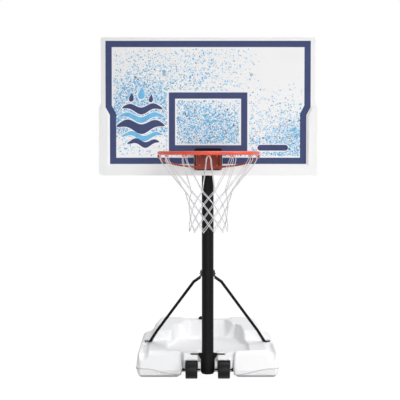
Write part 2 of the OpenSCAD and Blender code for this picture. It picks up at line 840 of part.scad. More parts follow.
// Zone of the face that the rim's backing plate covers, with a little room round it
module backing_zone() {
    translate([-backing_w / 2 - backing_room, backing_low - backing_room])
        square([backing_w + 2 * backing_room, backing_h + 2 * backing_room]);
}
module backboard() {
    color(white) at_pole() difference() {
        union() {
            slab_y(board_face, board_skin) board_shape();
            slab_y(board_face, board_t) difference() {
                board_shape();
                board_shape(edge_wall);
            }
            slab_y(board_face - bumper_raise, bumper_raise + 1) difference() {
                board_shape();
                polygon(inset_outline(border_outline, -bumper_gap));
                translate([-board_w / 2 - 1, step_z]) square([board_w + 2, board_h]);
                backing_zone();
            }
            for (i = [1:rib_cols - 1])
                translate([-board_upper_w / 2 + i * board_upper_w / rib_cols - rib_t / 2,
                    board_face + 1, board_z + 4])
                    cube([rib_t, board_t - 4, board_h - 8]);
            for (i = [1:rib_rows - 1])
                translate([-board_upper_w / 2 + 4, board_face + 1, board_z + i * board_h / rib_rows])
                    cube([board_upper_w - 8, board_t - 4, rib_t]);
            for (side = [-1, 1])
                along_y([side * board_bolt_x, board_face + 1, board_bolt_z], 44, board_t - 1);
            translate([-backing_w / 2 - 4, board_face + 1, backing_low])
                cube([backing_w + 8, board_t - 1, backing_h]);
        }
        for (side = [-1, 1])
            along_y([side * board_bolt_x, board_face - 10, board_bolt_z], bolt_hole, board_t + 20);
        for (side = [-1, 1], z = [rim_bolt_low, rim_bolt_high])
            along_y([side * rim_bolt_x, board_face - 10, z], bolt_hole, board_t + 20);
    }
}

// Printed border and target box
border_top = board_top - border_head;
border_foot = board_z + border_low_foot;
target_foot = rim_height + target_rise;
border_outline = [
    [-board_w / 2 + border_low_side, border_foot], [board_w / 2 - border_low_side, border_foot],
    [board_w / 2 - border_low_side, step_z - border_slant], [board_upper_w / 2 - border_side, step_z],
    [board_upper_w / 2 - border_side, border_top], [-board_upper_w / 2 + border_side, border_top],
    [-board_upper_w / 2 + border_side, step_z], [-board_w / 2 + border_low_side, step_z - border_slant]
];
module board_print() {
    color(navy) at_pole() slab_y(board_face - print_t, print_t) difference() {
        union() {
            difference() {
                polygon(border_outline);
                polygon(inset_outline(border_outline, line_w));
            }
            difference() {
                translate([-target_w / 2, target_foot]) square([target_w, target_h]);
                translate([-target_w / 2 + line_w, target_foot + line_w])
                    square([target_w - 2 * line_w, target_h - 2 * line_w]);
            }
        }
        backing_zone();
    }
}

// Bolts that hold the upper arms to the board
module board_bolt(side) {
    color(steel) at_pole() translate([side * board_bolt_x, board_face - seat_gap, board_bolt_z])
        rotate([-90, 0, 0]) round_bolt(board_t + tab_t + free_gap + 2 * seat_gap);
}
module board_nut(side) {
    color(steel) at_pole()
        translate([side * board_bolt_x, board_back + free_gap + tab_t + seat_gap, board_bolt_z])
            rotate([-90, 0, 0]) nut();
}
module board_bolt_left() {
    board_bolt(-1);
}
module board_bolt_right() {
    board_bolt(1);
}
module board_nut_left() {
    board_nut(-1);
}
module board_nut_right() {
    board_nut(1);
}

// Black backing plate between the board and the rim's bracket
backing_face = board_face - seat_gap - backing_t;
module rim_backing() {
    outline = [
        [-backing_w / 2, backing_low], [backing_w / 2, backing_low],
        [backing_w / 2, backing_low + backing_h], [-backing_w / 2, backing_low + backing_h]
    ];
    color(black) at_pole() difference() {
        slab_y(backing_face, backing_t) polygon(round_outline(outline, 14));
        for (side = [-1, 1], z = [rim_bolt_low, rim_bolt_high])
            along_y([side * rim_bolt_x, board_face - 20, z], bolt_hole, 40);
    }
}

// Bracket: a back plate, a top plate up to the ring and two side gussets
bracket_face = backing_face - seat_gap - bracket_t;
ring_back = rim_y + ring_r + rim_rod / 2;
gusset_x = bracket_w / 2 - bracket_t;
support_out = 4.5;
support_r = ring_r + support_out;
support_drop = sqrt(pow(rim_rod / 2 + support_rod / 2 + free_gap, 2) - pow(support_out, 2));
support_back_y = rim_y + support_r * cos(support_tilt);
support_back_z = rim_height - support_drop - support_r * sin(support_tilt);
module rim_bracket() {
    top_front = rim_y + sqrt(pow(ring_r + rim_rod / 2, 2) - pow(bracket_w / 2, 2)) - 4;
    gusset = [
        [bracket_face + 1, plate_low], [bracket_face + 1, rim_height],
        [ring_back + 4, rim_height], [support_back_y + 8, support_back_z + 6],
        [support_back_y + 8, support_back_z - 6], [bracket_face - 40, plate_low]
    ];
    color(orange) at_pole() difference() {
        union() {
            translate([-bracket_w / 2, bracket_face, plate_low])
                cube([bracket_w, bracket_t, bracket_h]);
            translate([-bracket_w / 2, top_front, rim_height - bracket_t / 2])
                cube([bracket_w, bracket_face + bracket_t - top_front, bracket_t]);
            for (x = [-bracket_w / 2, gusset_x])
                translate([x, 0, 0]) rotate([90, 0, 90]) linear_extrude(bracket_t) polygon(gusset);
        }
        translate([0, rim_y, plate_low - 50])
            cylinder(r = ring_r + rim_rod / 2 + seat_gap, h = 300, $fn = finish_fn);
        for (side = [-1, 1], z = [rim_bolt_low, rim_bolt_high])
            along_y([side * rim_bolt_x, bracket_face - 2, z], bolt_hole, 20);
    }
}
module rim_ring() {
    color(orange) at_pole() translate([0, rim_y, rim_height])
        rotate_extrude($fn = finish_fn) translate([ring_r, 0]) circle(d = rim_rod, $fn = 32);
}
// Half ring that slopes from under the rim's sides down to the bracket's foot
module rim_support() {
    color(orange) at_pole() translate([0, rim_y, rim_height - support_drop])
        rotate([-support_tilt, 0, 0])
            rotate_extrude(angle = 180, $fn = finish_fn)
                translate([support_r, 0]) circle(d = support_rod, $fn = 32);
}

// Wire loops under the rim that hold the net
hook_r = 8;
hook_line = ring_r - 4.8;
hook_wire = 4;
hook_z = rim_height - rim_rod / 2 - seat_gap;
module net_hooks() {
    color(orange) at_pole() translate([0, rim_y, hook_z])
        for (i = [0:hook_count - 1])
            rotate([0, 0, i * 360 / hook_count]) translate([hook_line, 0, 0])
                rotate([90, 0, 90]) rotate([0, 0, 180])
                    rotate_extrude(angle = 180, $fn = 32) translate([hook_r, 0]) circle(d = hook_wire, $fn = 24);
}

// Net: rows of knots, each tied to the two knots below it. A row gives its radius and its drop.
net_top = hook_z - hook_r - hook_wire / 2 - free_gap;
knot_half = net_cord * 0.7;
last_row = 7;
neck_row = 5;
net_step = (net_len - knot_half - net_shoulder_drop) / (last_row - 1);
function net_radius(row) =
    row < neck_row
    ? net_neck_r + (net_shoulder_r - net_neck_r) * pow((neck_row - row) / (neck_row - 1), 2)
    : net_neck_r + (net_foot_r - net_neck_r) * (row - neck_row) / (last_row - neck_row);
net_rows = [
    [hook_line, knot_half],
    for (row = [1:last_row]) [net_radius(row), net_shoulder_drop + (row - 1) * net_step]
];
// Corners of a knot: above, counter-clockwise side, below, clockwise side
ABOVE = 0;
AHEAD = 1;
BELOW = 2;
BEHIND = 3;
function along_net(row) =
    let (a = net_rows[max(row - 1, 0)], b = net_rows[min(row + 1, last_row)])
    unit([a[0] - b[0], b[1] - a[1]]);
function knot_point(row, i, corner, layer) =
    let (
        up = along_net(row),
        out = [up.y, -up.x],
        climb = corner == ABOVE ? knot_half : corner == BELOW ? -knot_half : 0,
        side = corner == AHEAD ? knot_half : corner == BEHIND ? -knot_half : 0,
        p = [net_rows[row][0], -net_rows[row][1]] + climb * up + (layer - 0.5) * net_cord * out,
        turn = (i + (row % 2) / 2) * 360 / hook_count
    )
    [p.x * cos(turn) - side * sin(turn), p.x * sin(turn) + side * cos(turn), p.y];
// Number of a knot's corner in the list of points; layer 0 is inside and 1 is outside
function at_knot(row, i, corner, layer) =
    ((row * hook_count + (i + hook_count) % hook_count) * 4 + corner) * 2 + layer;
function halves(q) = [[q[0], q[1], q[2]], [q[0], q[2], q[3]]];
// Band of cord whose edges run from a to b and back from c to d, each given as row, knot and corner
function cord_faces(a, b, c, d) =
    let (
        outer = [for (p = [a, b, c, d]) at_knot(p[0], p[1], p[2], 1)],
        inner = [for (p = [a, b, c, d]) at_knot(p[0], p[1], p[2], 0)]
    )
    concat(
        halves(outer),
        halves([inner[3], inner[2], inner[1], inner[0]]),
        halves([outer[1], outer[0], inner[0], inner[1]]),
        halves([outer[3], outer[2], inner[2], inner[3]])
    );
function knot_faces(row, i) = concat(
    halves([for (c = [ABOVE, AHEAD, BELOW, BEHIND]) at_knot(row, i, c, 1)]),
    halves([for (c = [ABOVE, BEHIND, BELOW, AHEAD]) at_knot(row, i, c, 0)])
);
function cap_face(row, i, a, b) = halves([
    at_knot(row, i, b, 1), at_knot(row, i, a, 1), at_knot(row, i, a, 0), at_knot(row, i, b, 0)
]);
function row_faces(row, i) =
    let (ahead = i + row % 2, behind = ahead - 1)
    row == last_row
    ? concat(cap_face(row, i, AHEAD, BELOW), cap_face(row, i, BELOW, BEHIND))
    : concat(
        cord_faces([row, i, AHEAD], [row + 1, ahead, ABOVE], [row + 1, ahead, BEHIND], [row, i, BELOW]),
        cord_faces([row, i, BELOW], [row + 1, behind, AHEAD], [row + 1, behind, ABOVE], [row, i, BEHIND])
    );
module net() {
    points = [
        for (row = [0:last_row], i = [0:hook_count - 1], c = [ABOVE, AHEAD, BELOW, BEHIND], layer = [0, 1])
            knot_point(row, i, c, layer)
    ];
    faces = [
        for (row = [0:last_row], i = [0:hook_count - 1])
            each concat(
                knot_faces(row, i),
                row_faces(row, i),
                row > 0 ? [] : concat(cap_face(0, i, ABOVE, AHEAD), cap_face(0, i, BEHIND, ABOVE))
            )
    ];
    color(cord_white) at_pole() translate([0, rim_y, net_top]) polyhedron(points, faces);
}

// Four bolts and nuts through bracket, backing plate, board and lower arms
rim_bolt_places = [
    [-rim_bolt_x, rim_bolt_low], [rim_bolt_x, rim_bolt_low],
    [-rim_bolt_x, rim_bolt_high], [rim_bolt_x, rim_bolt_high]
];
rim_stack = board_back + free_gap + tab_t - bracket_face + 2 * seat_gap;
module rim_bolt(i) {
    at = rim_bolt_places[i - 1];
    color(steel) at_pole() translate([at.x, bracket_face - seat_gap, at.y])
        rotate([-90, 0, 0]) hex_bolt(rim_stack);
}
module rim_nut(i) {
    at = rim_bolt_places[i - 1];
    color(steel) at_pole() translate([at.x, board_back + free_gap + tab_t + seat_gap, at.y])
        rotate([-90, 0, 0]) nut();
}

base_tank();
water_ballast();
filler_cap();
axle_left();
axle_right();
axle_cap_left();
axle_cap_right();
wheel_left();
wheel_right();
pole_boot();
pole_rod();
lower_pole();
brace_band();
brace_left();
brace_right();
brace_bolt();
brace_nut();
foot_bolt_left();
foot_bolt_right();
clamp_collar();
clamp_screw();
clamp_knob();
upper_pole();
pole_cap();
arm_upper_left();
arm_upper_right();
arm_lower_left();
arm_lower_right();
arm_bolt_upper();
arm_nut_upper();
arm_bolt_lower();
arm_nut_lower();
backboard();
board_print();
board_bolt_left();
board_bolt_right();
board_nut_left();
board_nut_right();
rim_backing();
rim_bracket();
rim_ring();
rim_support();
net_hooks();
net();
rim_bolt(1);  // rim_bolt_1
rim_bolt(2);  // rim_bolt_2
rim_bolt(3);  // rim_bolt_3
rim_bolt(4);  // rim_bolt_4
rim_nut(1);  // rim_nut_1
rim_nut(2);  // rim_nut_2
rim_nut(3);  // rim_nut_3
rim_nut(4);  // rim_nut_4
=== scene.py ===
import json
import math
import bpy
import numpy as np
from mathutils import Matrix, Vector


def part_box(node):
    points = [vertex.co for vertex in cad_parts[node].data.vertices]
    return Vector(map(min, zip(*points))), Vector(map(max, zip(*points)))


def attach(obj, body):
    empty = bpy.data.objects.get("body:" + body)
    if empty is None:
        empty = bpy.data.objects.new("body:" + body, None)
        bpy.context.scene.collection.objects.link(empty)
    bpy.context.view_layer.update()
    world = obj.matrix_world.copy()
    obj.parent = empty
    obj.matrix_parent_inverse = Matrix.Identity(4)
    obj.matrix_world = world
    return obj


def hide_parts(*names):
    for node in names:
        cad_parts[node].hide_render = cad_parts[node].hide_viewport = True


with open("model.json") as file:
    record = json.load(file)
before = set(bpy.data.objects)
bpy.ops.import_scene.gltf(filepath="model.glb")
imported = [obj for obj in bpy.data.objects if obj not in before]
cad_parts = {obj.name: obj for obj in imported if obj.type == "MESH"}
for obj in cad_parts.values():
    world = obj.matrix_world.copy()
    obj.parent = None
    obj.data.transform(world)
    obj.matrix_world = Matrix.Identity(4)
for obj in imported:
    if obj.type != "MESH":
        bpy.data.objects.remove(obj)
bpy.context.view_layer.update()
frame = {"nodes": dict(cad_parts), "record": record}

# Poolside hoop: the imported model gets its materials, and moulded, knotted and printed pieces in its place.
# Lengths in the shape code are millimetres measured from the pole axis, as in the part's source.

MM = 0.001
nodes = frame["nodes"]
scene = bpy.context.scene
pole_lo, pole_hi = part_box("lower_pole")
ring_lo, ring_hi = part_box("rim_ring")
tank_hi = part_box("base_tank")[1]
print_lo, print_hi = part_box("board_print")
board_lo, board_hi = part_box("backboard")
pole_y = (pole_lo.y + pole_hi.y) / 2
rim_y = ((ring_lo.y + ring_hi.y) / 2 - pole_y) / MM
rim_z = (ring_lo.z + ring_hi.z) / 2 / MM
base_rear = (tank_hi.y - pole_y) / MM
base_half = tank_hi.x / MM
block_top = tank_hi.z / MM
board_face = (print_hi.y - pole_y) / MM


# Camera
cam_data = bpy.data.cameras.new("camera")
cam_data.lens = 107.64
cam_data.sensor_width = 36.0
cam = bpy.data.objects.new("camera", cam_data)
cam.location = (-0.040, pole_y - 6.430, 1.219)
cam.rotation_euler = (math.radians(87.75), 0.0, 0.00023)
scene.collection.objects.link(cam)
scene.camera = cam
scene.view_settings.view_transform = "Standard"


# Material helpers
def linear(rgb):
    return [c / 255 / 12.92 if c <= 10 else ((c / 255 + 0.055) / 1.055) ** 2.4 for c in rgb]


class Shader:
    """A node tree with one Principled shader, fed by noise in object coordinates."""

    def __init__(self, name):
        self.material = bpy.data.materials.new(name)
        self.material.use_nodes = True
        self.tree = self.material.node_tree
        self.bsdf = self.tree.nodes["Principled BSDF"]
        self.coords = self.tree.nodes.new("ShaderNodeTexCoord").outputs["Object"]

    def node(self, kind, **values):
        made = self.tree.nodes.new(kind)
        for key, value in values.items():
            setattr(made, key, value)
        return made

    def link(self, a, b):
        self.tree.links.new(a, b)

    def noise(self, scale, detail=3.0, stretch=(1, 1, 1), rough=0.5):
        coords = self.coords
        if stretch != (1, 1, 1):
            mapping = self.node("ShaderNodeMapping")
            mapping.inputs["Scale"].default_value = stretch
            self.link(coords, mapping.inputs["Vector"])
            coords = mapping.outputs["Vector"]
        made = self.node("ShaderNodeTexNoise")
        made.inputs["Scale"].default_value = scale
        made.inputs["Detail"].default_value = detail
        made.inputs["Roughness"].default_value = rough
        self.link(coords, made.inputs["Vector"])
        return made.outputs["Fac"]

    def blend(self, factor, low, high, stops=(0.3, 0.7)):
        ramp = self.node("ShaderNodeValToRGB")
        ramp.color_ramp.elements[0].position = stops[0]
        ramp.color_ramp.elements[1].position = stops[1]
        ramp.color_ramp.elements[0].color = (*low, 1)
        ramp.color_ramp.elements[1].color = (*high, 1)
        self.link(factor, ramp.inputs["Fac"])
        return ramp.outputs["Color"]

    def span(self, factor, low, high):
        made = self.node("ShaderNodeMapRange")
        made.inputs["From Min"].default_value = 0.25
        made.inputs["From Max"].default_value = 0.75
        made.inputs["To Min"].default_value = low
        made.inputs["To Max"].default_value = high
        self.link(factor, made.inputs["Value"])
        return made.outputs["Result"]

    def bump(self, height, distance, strength=1.0, normal=None):
        made = self.node("ShaderNodeBump")
        made.inputs["Distance"].default_value = distance
        made.inputs["Strength"].default_value = strength
        self.link(height, made.inputs["Height"])
        if normal is not None:
            self.link(normal, made.inputs["Normal"])
        return made.outputs["Normal"]

    def set(self, **sockets):
        for key, value in sockets.items():
            self.bsdf.inputs[key.replace("_", " ")].default_value = value


def finish_of(name, rgb, rough, vary=0.05, patch=9.0, grain=500.0, grain_depth=0.0002, metal=0.0, gloss=0.5,
              coat=0.0, wave=0.0, wave_scale=25.0, stretch=(1, 1, 1)):
    made = Shader(name)
    base = linear(rgb)
    low = [c * (1 - vary) for c in base]
    high = [min(1.0, c * (1 + vary)) for c in base]
    made.link(made.blend(made.noise(patch, 4.0, stretch), low, high), made.bsdf.inputs["Base Color"])
    uneven = made.span(made.noise(patch * 3, 3.0, stretch), rough - 0.06, rough + 0.06)
    made.link(uneven, made.bsdf.inputs["Roughness"])
    normal = made.bump(made.noise(grain, 2.0, stretch), grain_depth)
    if wave:
        normal = made.bump(made.noise(wave_scale, 1.0), wave, normal=normal)
    made.link(normal, made.bsdf.inputs["Normal"])
    made.set(Metallic=metal, Specular_IOR_Level=gloss, Coat_Weight=coat, Coat_Roughness=0.18)
    return made.material


white_tank = finish_of("tank_polyethylene", (241, 241, 242), 0.50, 0.012, 3.0, 900.0, 0.00012, gloss=0.35,
                       wave=0.0022, wave_scale=7.0)


def paint_foot_shade(look, low, high, dark):
    """Painted shade: darkens the lowest edge of a moulding, where it meets the floor, by height above the
    ground in metres.
    """
    tree = look.node_tree
    bsdf = tree.nodes["Principled BSDF"]
    colour = bsdf.inputs["Base Color"].links[0].from_socket
    split = tree.nodes.new("ShaderNodeSeparateXYZ")
    tree.links.new(tree.nodes["Texture Coordinate"].outputs["Object"], split.inputs["Vector"])
    ramp = tree.nodes.new("ShaderNodeMapRange")
    for key, value in (("From Min", low), ("From Max", high), ("To Min", dark), ("To Max", 1.0)):
        ramp.inputs[key].default_value = value
    tree.links.new(split.outputs["Z"], ramp.inputs["Value"])
    scale = tree.nodes.new("ShaderNodeVectorMath")
    scale.operation = "SCALE"
    tree.links.new(colour, scale.inputs["Vector"])
    tree.links.new(ramp.outputs["Result"], scale.inputs["Scale"])
    tree.links.new(scale.outputs["Vector"], bsdf.inputs["Base Color"])


# Painted shade on the tank's foot, darker towards the ground.
paint_foot_shade(white_tank, 0.011, 0.020, 0.36)
# Grey on the parting line's bead is painted shade, for the thin shadow line under the moulding's step.
parting_line_shade = finish_of("tank_flash_line", (196, 196, 198), 0.60, 0.03, 20.0, 900.0, 0.0001, gloss=0.25)
white_board = finish_of("board_polyethylene", (243, 243, 243), 0.55, 0.010, 4.0, 700.0, 0.00010, gloss=0.30,
                        wave=0.0008, wave_scale=6.0)
navy_ink = finish_of("navy_ink", (60, 70, 112), 0.60, 0.06, 30.0, 900.0, 0.00008, gloss=0.25)
sky_ink = finish_of("sky_ink", (112, 186, 228), 0.55, 0.12, 60.0, 900.0, 0.00008, gloss=0.25)
pale_ink = finish_of("pale_ink", (176, 216, 240), 0.55, 0.08, 60.0, 900.0, 0.00008, gloss=0.25)
slate_ink = finish_of("slate_ink", (96, 116, 150), 0.55, 0.15, 60.0, 900.0, 0.00008, gloss=0.25)
white_ink = finish_of("white_ink", (247, 247, 247), 0.55, 0.010, 20.0, 900.0, 0.00008, gloss=0.25)
orange_paint = finish_of("orange_powder_coat", (226, 80, 52), 0.42, 0.06, 14.0, 800.0, 0.00025, gloss=0.45,
                         coat=0.15)
# A darker copy of the orange powder coat: painted shade on the rim's bracket and its support.
shaded_orange_paint = finish_of("orange_coat_painted_shade", (158, 62, 46), 0.46, 0.12, 60.0, 420.0, 0.0005, gloss=0.35)
black_coat = finish_of("black_powder_coat", (15, 15, 16), 0.44, 0.15, 22.0, 900.0, 0.0003, gloss=0.10)
black_plastic = finish_of("black_plastic", (12, 12, 13), 0.50, 0.15, 18.0, 500.0, 0.0003, gloss=0.09)
rubber_black = finish_of("wheel_plastic", (17, 17, 18), 0.44, 0.20, 25.0, 350.0, 0.0006, gloss=0.16)
bolt_enamel = finish_of("bolt_enamel", (186, 188, 192), 0.40, 0.05, 60.0, 700.0, 0.0001, gloss=0.35)
zinc = finish_of("zinc_plate", (176, 178, 182), 0.34, 0.10, 120.0, 900.0, 0.0002, metal=1.0, gloss=0.5)
cord_nylon = finish_of("net_nylon", (216, 216, 219), 0.70, 0.05, 90.0, 1400.0, 0.0004, gloss=0.2,
                       stretch=(1, 1, 0.4))
water = finish_of("tank_water", (150, 195, 215), 0.12, 0.04, 5.0, 60.0, 0.0003, gloss=0.5)

looks = {
    "base_tank": white_tank, "water_ballast": water, "backboard": white_board, "board_print": navy_ink,
    "rim_ring": orange_paint, "rim_support": shaded_orange_paint, "rim_bracket": shaded_orange_paint,
    "net_hooks": orange_paint,
    "net": cord_nylon, "wheel_left": rubber_black, "wheel_right": rubber_black, "rim_backing": black_plastic,
    "board_bolt_left": bolt_enamel, "board_bolt_right": bolt_enamel, "pole_rod": black_coat,
    "axle_cap_left": black_plastic, "axle_cap_right": black_plastic,
    "axle_left": black_coat, "axle_right": black_coat,
}
for i in range(1, 5):
    looks["rim_bolt_%d" % i] = orange_paint
slot_looks = {"black_plastic": black_plastic, "zinc": zinc, "black_steel": black_coat}
slot_of = {s["node"]: s["material_slot"] for s in frame["record"]["subparts"]}


# Soft shading for the exact CAD surfaces, without a change to their meshes
def smooth_modifier():
    group = bpy.data.node_groups.new("smooth_by_angle", "GeometryNodeTree")
    group.interface.new_socket("Geometry", in_out="INPUT", socket_type="NodeSocketGeometry")
    group.interface.new_socket("Geometry", in_out="OUTPUT", socket_type="NodeSocketGeometry")
    start = group.nodes.new("NodeGroupInput")
    end = group.nodes.new("NodeGroupOutput")
    weld = group.nodes.new("GeometryNodeMergeByDistance")
    weld.inputs["Distance"].default_value = 0.00001
    angle = group.nodes.new("GeometryNodeInputMeshEdgeAngle")
    less = group.nodes.new("FunctionNodeCompare")
    less.data_type = "FLOAT"
    less.operation = "LESS_THAN"
    less.inputs["B"].default_value = math.radians(32)
    faces = group.nodes.new("GeometryNodeSetShadeSmooth")
    edges = group.nodes.new("GeometryNodeSetShadeSmooth")
    edges.domain = "EDGE"
    group.links.new(start.outputs[0], weld.inputs["Geometry"])
    group.links.new(weld.outputs["Geometry"], faces.inputs["Geometry"])
    group.links.new(faces.outputs["Geometry"], edges.inputs["Geometry"])
    group.links.new(angle.outputs["Unsigned Angle"], less.inputs["A"])
    group.links.new(less.outputs["Result"], edges.inputs["Shade Smooth"])
    group.links.new(edges.outputs["Geometry"], end.inputs[0])
    return group


smoothing = smooth_modifier()
for name, node in nodes.items():
    look = looks.get(name) or slot_looks[slot_of[name]]
    node.data.materials.clear()
    node.data.materials.append(look)
    node.modifiers.new("smooth", "NODES").node_group = smoothing


def make_piece(name, points, faces, look, body, slot, smooth=True):
    """A mesh piece from points in millimetres about the pole axis."""
    mesh = bpy.data.meshes.new(name)
    points = np.asarray(points, float) * MM + np.array([0, pole_y, 0])
    mesh.from_pydata(points.tolist(), [], faces)
    mesh.update()
    mesh.validate()
    if smooth:
        mesh.polygons.foreach_set("use_smooth", [True] * len(mesh.polygons))
    mesh.materials.append(look)
    made = bpy.data.objects.new(name, mesh)
    scene.collection.objects.link(made)
    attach(made, body)
    return made


# Tank: one soft blow moulding, built as a distance field and turned into a mesh
def sharp_sdf(x, y, pts):
    """Signed distance in the plane to a closed outline, negative inside."""
    best = None
    inside = None
    for (ax, ay), (bx, by) in zip(pts, pts[1:] + pts[:1]):
        ex, ey = bx - ax, by - ay
        wx, wy = x - ax, y - ay
        t = np.clip((wx * ex + wy * ey) / (ex * ex + ey * ey), 0, 1)
        d = (wx - ex * t) ** 2 + (wy - ey * t) ** 2
        best = d if best is None else np.minimum(best, d)
        cross = ((ay <= y) & (y < by)) | ((by <= y) & (y < ay))
        side = cross & (x < ax + (y - ay) * ex / (ey if ey else 1))
        inside = side if inside is None else inside ^ side
    return np.where(inside, -1, 1) * np.sqrt(best)


def inset(pts, d):
    """A convex outline, anticlockwise, drawn in by d."""
    out = []
    for i, b in enumerate(pts):
        a, c = np.array(pts[i - 1], float), np.array(pts[(i + 1) % len(pts)], float)
        b = np.array(b, float)
        m = np.array([a[1] - b[1], b[0] - a[0]]) / np.linalg.norm(b - a)
        n = np.array([b[1] - c[1], c[0] - b[0]]) / np.linalg.norm(c - b)
        out.append(tuple(b + (m + n) * d / (1 + m @ n)))
    return out


def round_sdf(x, y, pts, r):
    return sharp_sdf(x, y, inset(pts, r)) - r


def join(a, b, r):
    return np.maximum(r, np.minimum(a, b)) - np.hypot(np.maximum(r - a, 0), np.maximum(r - b, 0))


def meet(a, b, r):
    return np.minimum(-r, np.maximum(a, b)) + np.hypot(np.maximum(a + r, 0), np.maximum(b + r, 0))


def slab(plan, z, levels, top_r, foot_r):
    heights, draws = zip(*levels)
    side = plan + np.interp(z, heights, draws)
    return meet(meet(side, z - heights[-1], top_r), heights[0] - z, foot_r)


def rod(x, y, z, a, b, r):
    e = np.subtract(b, a)
    wx, wy, wz = x - a[0], y - a[1], z - a[2]
    t = np.clip((wx * e[0] + wy * e[1] + wz * e[2]) / (e @ e), 0, 1)
    return np.sqrt((wx - e[0] * t) ** 2 + (wy - e[1] * t) ** 2 + (wz - e[2] * t) ** 2) - r


def brick(x, y, z, lo, hi, r):
    q = [np.maximum(l - v, v - h) for v, l, h in zip((x, y, z), lo, hi)]
    return meet(meet(q[0], q[1], r), q[2], r)


LOBE = [(138, -12), (base_half, -12), (base_half, 690), (base_half - 55, 800), (138, 800)]
BLOCK = [
    (-336, 345), (336, 345), (336, base_rear - 245),
    (312, base_rear), (-312, base_rear), (-336, base_rear - 245)]
WELL = [(-60, 20), (222, 20), (225, 262), (215, 342), (197, 392), (184, 556), (158, 640), (-60, 640)]
chute_end = base_rear - 110
# Floor of the bay and seat cuts, and a bound past the moulding's faces
SEAT_Z = 129.2
FAR = 200


def seam_height(x, y):
    """The parting line dips towards the wheels on the front of the lobes."""
    dip = np.clip((345 - np.abs(x)) / 200, 0, 1)
    return 53 - 34 * dip * dip * (3 - 2 * dip) * np.clip((70 - y) / 50, 0, 1)


def tank_field(x, y, z):
    """Signed distance to the tank: lobes, block, middle and hub joined, and then the hollows cut."""
    ax = np.abs(x)
    under = 3.0 * np.clip((seam_height(x, y) - z) / 4, 0, 1)
    plan = np.where(ax > 250, round_sdf(ax, y, LOBE, 30), round_sdf(ax, y, LOBE, 16))
    lobe = slab(plan, z, [(0, 40), (8, 18.5), (20, 8), (46, 0), (125, 8), (152, 13)], 22, 10) + under
    sides = [(0, 40), (8, 18.5), (20, 8), (46, 0), (block_top - 57, 13), (block_top, 34)]
    block = slab(round_sdf(x, y, BLOCK, 30), z, sides, 22, 10) + under
    mid = brick(ax, y, z, (-60, 60, 24), (178, 415, 142), 4)
    hub = brick(ax, y, z, (-60, -22, 38), (130, 78, 142), 5)
    d = join(lobe, block, 22)
    d = join(d, mid, 6)
    d = join(d, hub, 7)
    floor = np.interp(y, [20, 640], [136, 120])
    lean = np.interp(y, [380, 560], [0.10, 0.16])
    well = meet((sharp_sdf(ax, y, WELL) - (z - floor) * lean) / np.sqrt(1 + lean * lean), floor - z, 12)
    d = meet(d, -well, 7)
    rise = np.interp(y, [600, 640, chute_end], [120.5, 120, block_top - 10])
    chute = meet((ax - 110 - (z - rise) * 0.52) * 0.89, (rise - z) * 0.96, 12)
    chute = meet(chute, 596 - y, 8)
    d = meet(d, -chute, 8)
    lip = brick(ax, y, z, (-400, chute_end - 24, block_top - 9), (146, 1200, 400), 6)
    d = meet(d, -lip, 5)
    dish = (np.sqrt((x / 94) ** 2 + ((y - 638) / 36) ** 2 + ((z - 122) / 30) ** 2) - 1) * 30
    d = meet(d, -dish, 4)
    for a, b in [((346, 285, 156), (346, 18, 156)), ((346, 18, 156), (351, -38, 96))]:
        d = meet(d, -rod(ax, y, z, a, b, 22), 7)
    bay = brick(ax, y, z, (-FAR, -FAR, SEAT_Z), (54, 130, 400), 3)
    d = meet(d, -bay, 4)
    seat = brick(ax, y, z, (-FAR, -FAR, SEAT_Z), (94, 27, 400), 2)
    d = meet(d, -seat, 2.5)
    ears = brick(ax, y, z, (-FAR, -FAR, 93), (53.5, 27, 400), 2)
    d = meet(d, -ears, 2.5)
    boot = np.where(y > 0, np.hypot(x, y), ax) - 38.2
    d = meet(d, -boot, 2.5)
    pocket = brick(ax, y, z, (53.5, -FAR, -FAR), (121.5, 40, 102), 4)
    d = meet(d, -pocket, 3)
    notch = brick(ax, y, z, (30, -FAR, 40.5), (134.5, -10, 59.5), 3)
    d = meet(d, -notch, 2)
    neck = np.maximum(np.hypot(x + 28, y - base_rear + 75) - 15.4, 165 - z)
    return np.maximum(d, -neck)


def surface_net(field, origin, step):
    """Points and quads where a sampled field crosses zero."""
    cells = tuple(n - 1 for n in field.shape)
    total = np.zeros(cells + (3,), np.float32)
    count = np.zeros(cells, np.float32)
    solid = field < 0
    quads = []
    for axis in range(3):
        others = [a for a in range(3) if a != axis]
        near = [slice(None)] * 3
        far = [slice(None)] * 3
        near[axis], far[axis] = slice(0, -1), slice(1, None)
        f0, f1 = field[tuple(near)], field[tuple(far)]
        s0, s1 = solid[tuple(near)], solid[tuple(far)]
        hit = s0 != s1
        t = np.where(hit, f0 / np.where(hit, f0 - f1, 1), 0)
        for i in (0, 1):
            for j in (0, 1):
                cut = [slice(None)] * 3
                cut[others[0]] = slice(i, i + cells[others[0]])
                cut[others[1]] = slice(j, j + cells[others[1]])
                h, tt = hit[tuple(cut)], t[tuple(cut)]
                count += h
                total[..., axis] += np.where(h, tt, 0)
                total[..., others[0]] += h * i
                total[..., others[1]] += h * j
        at = np.argwhere(hit)
        keep = (at[:, others[0]] > 0) & (at[:, others[1]] > 0)
        keep &= (at[:, others[0]] < cells[others[0]]) & (at[:, others[1]] < cells[others[1]])
        at = at[keep]
        ring = []
        for i, j in ((1, 1), (0, 1), (0, 0), (1, 0)):
            c = at.copy()
            c[:, others[0]] -= i
            c[:, others[1]] -= j
            ring.append(np.ravel_multi_index(c.T, cells))
        quad = np.stack(ring, 1)
        outward = s0[tuple(at.T)] if axis != 1 else ~s0[tuple(at.T)]
        quads.append(np.where(outward[:, None], quad, quad[:, ::-1]))
    used = count > 0
    number = np.cumsum(used.ravel()) - 1
    base = np.argwhere(used) + total[used] / count[used][:, None]
    return base * step + origin, number[np.concatenate(quads)]


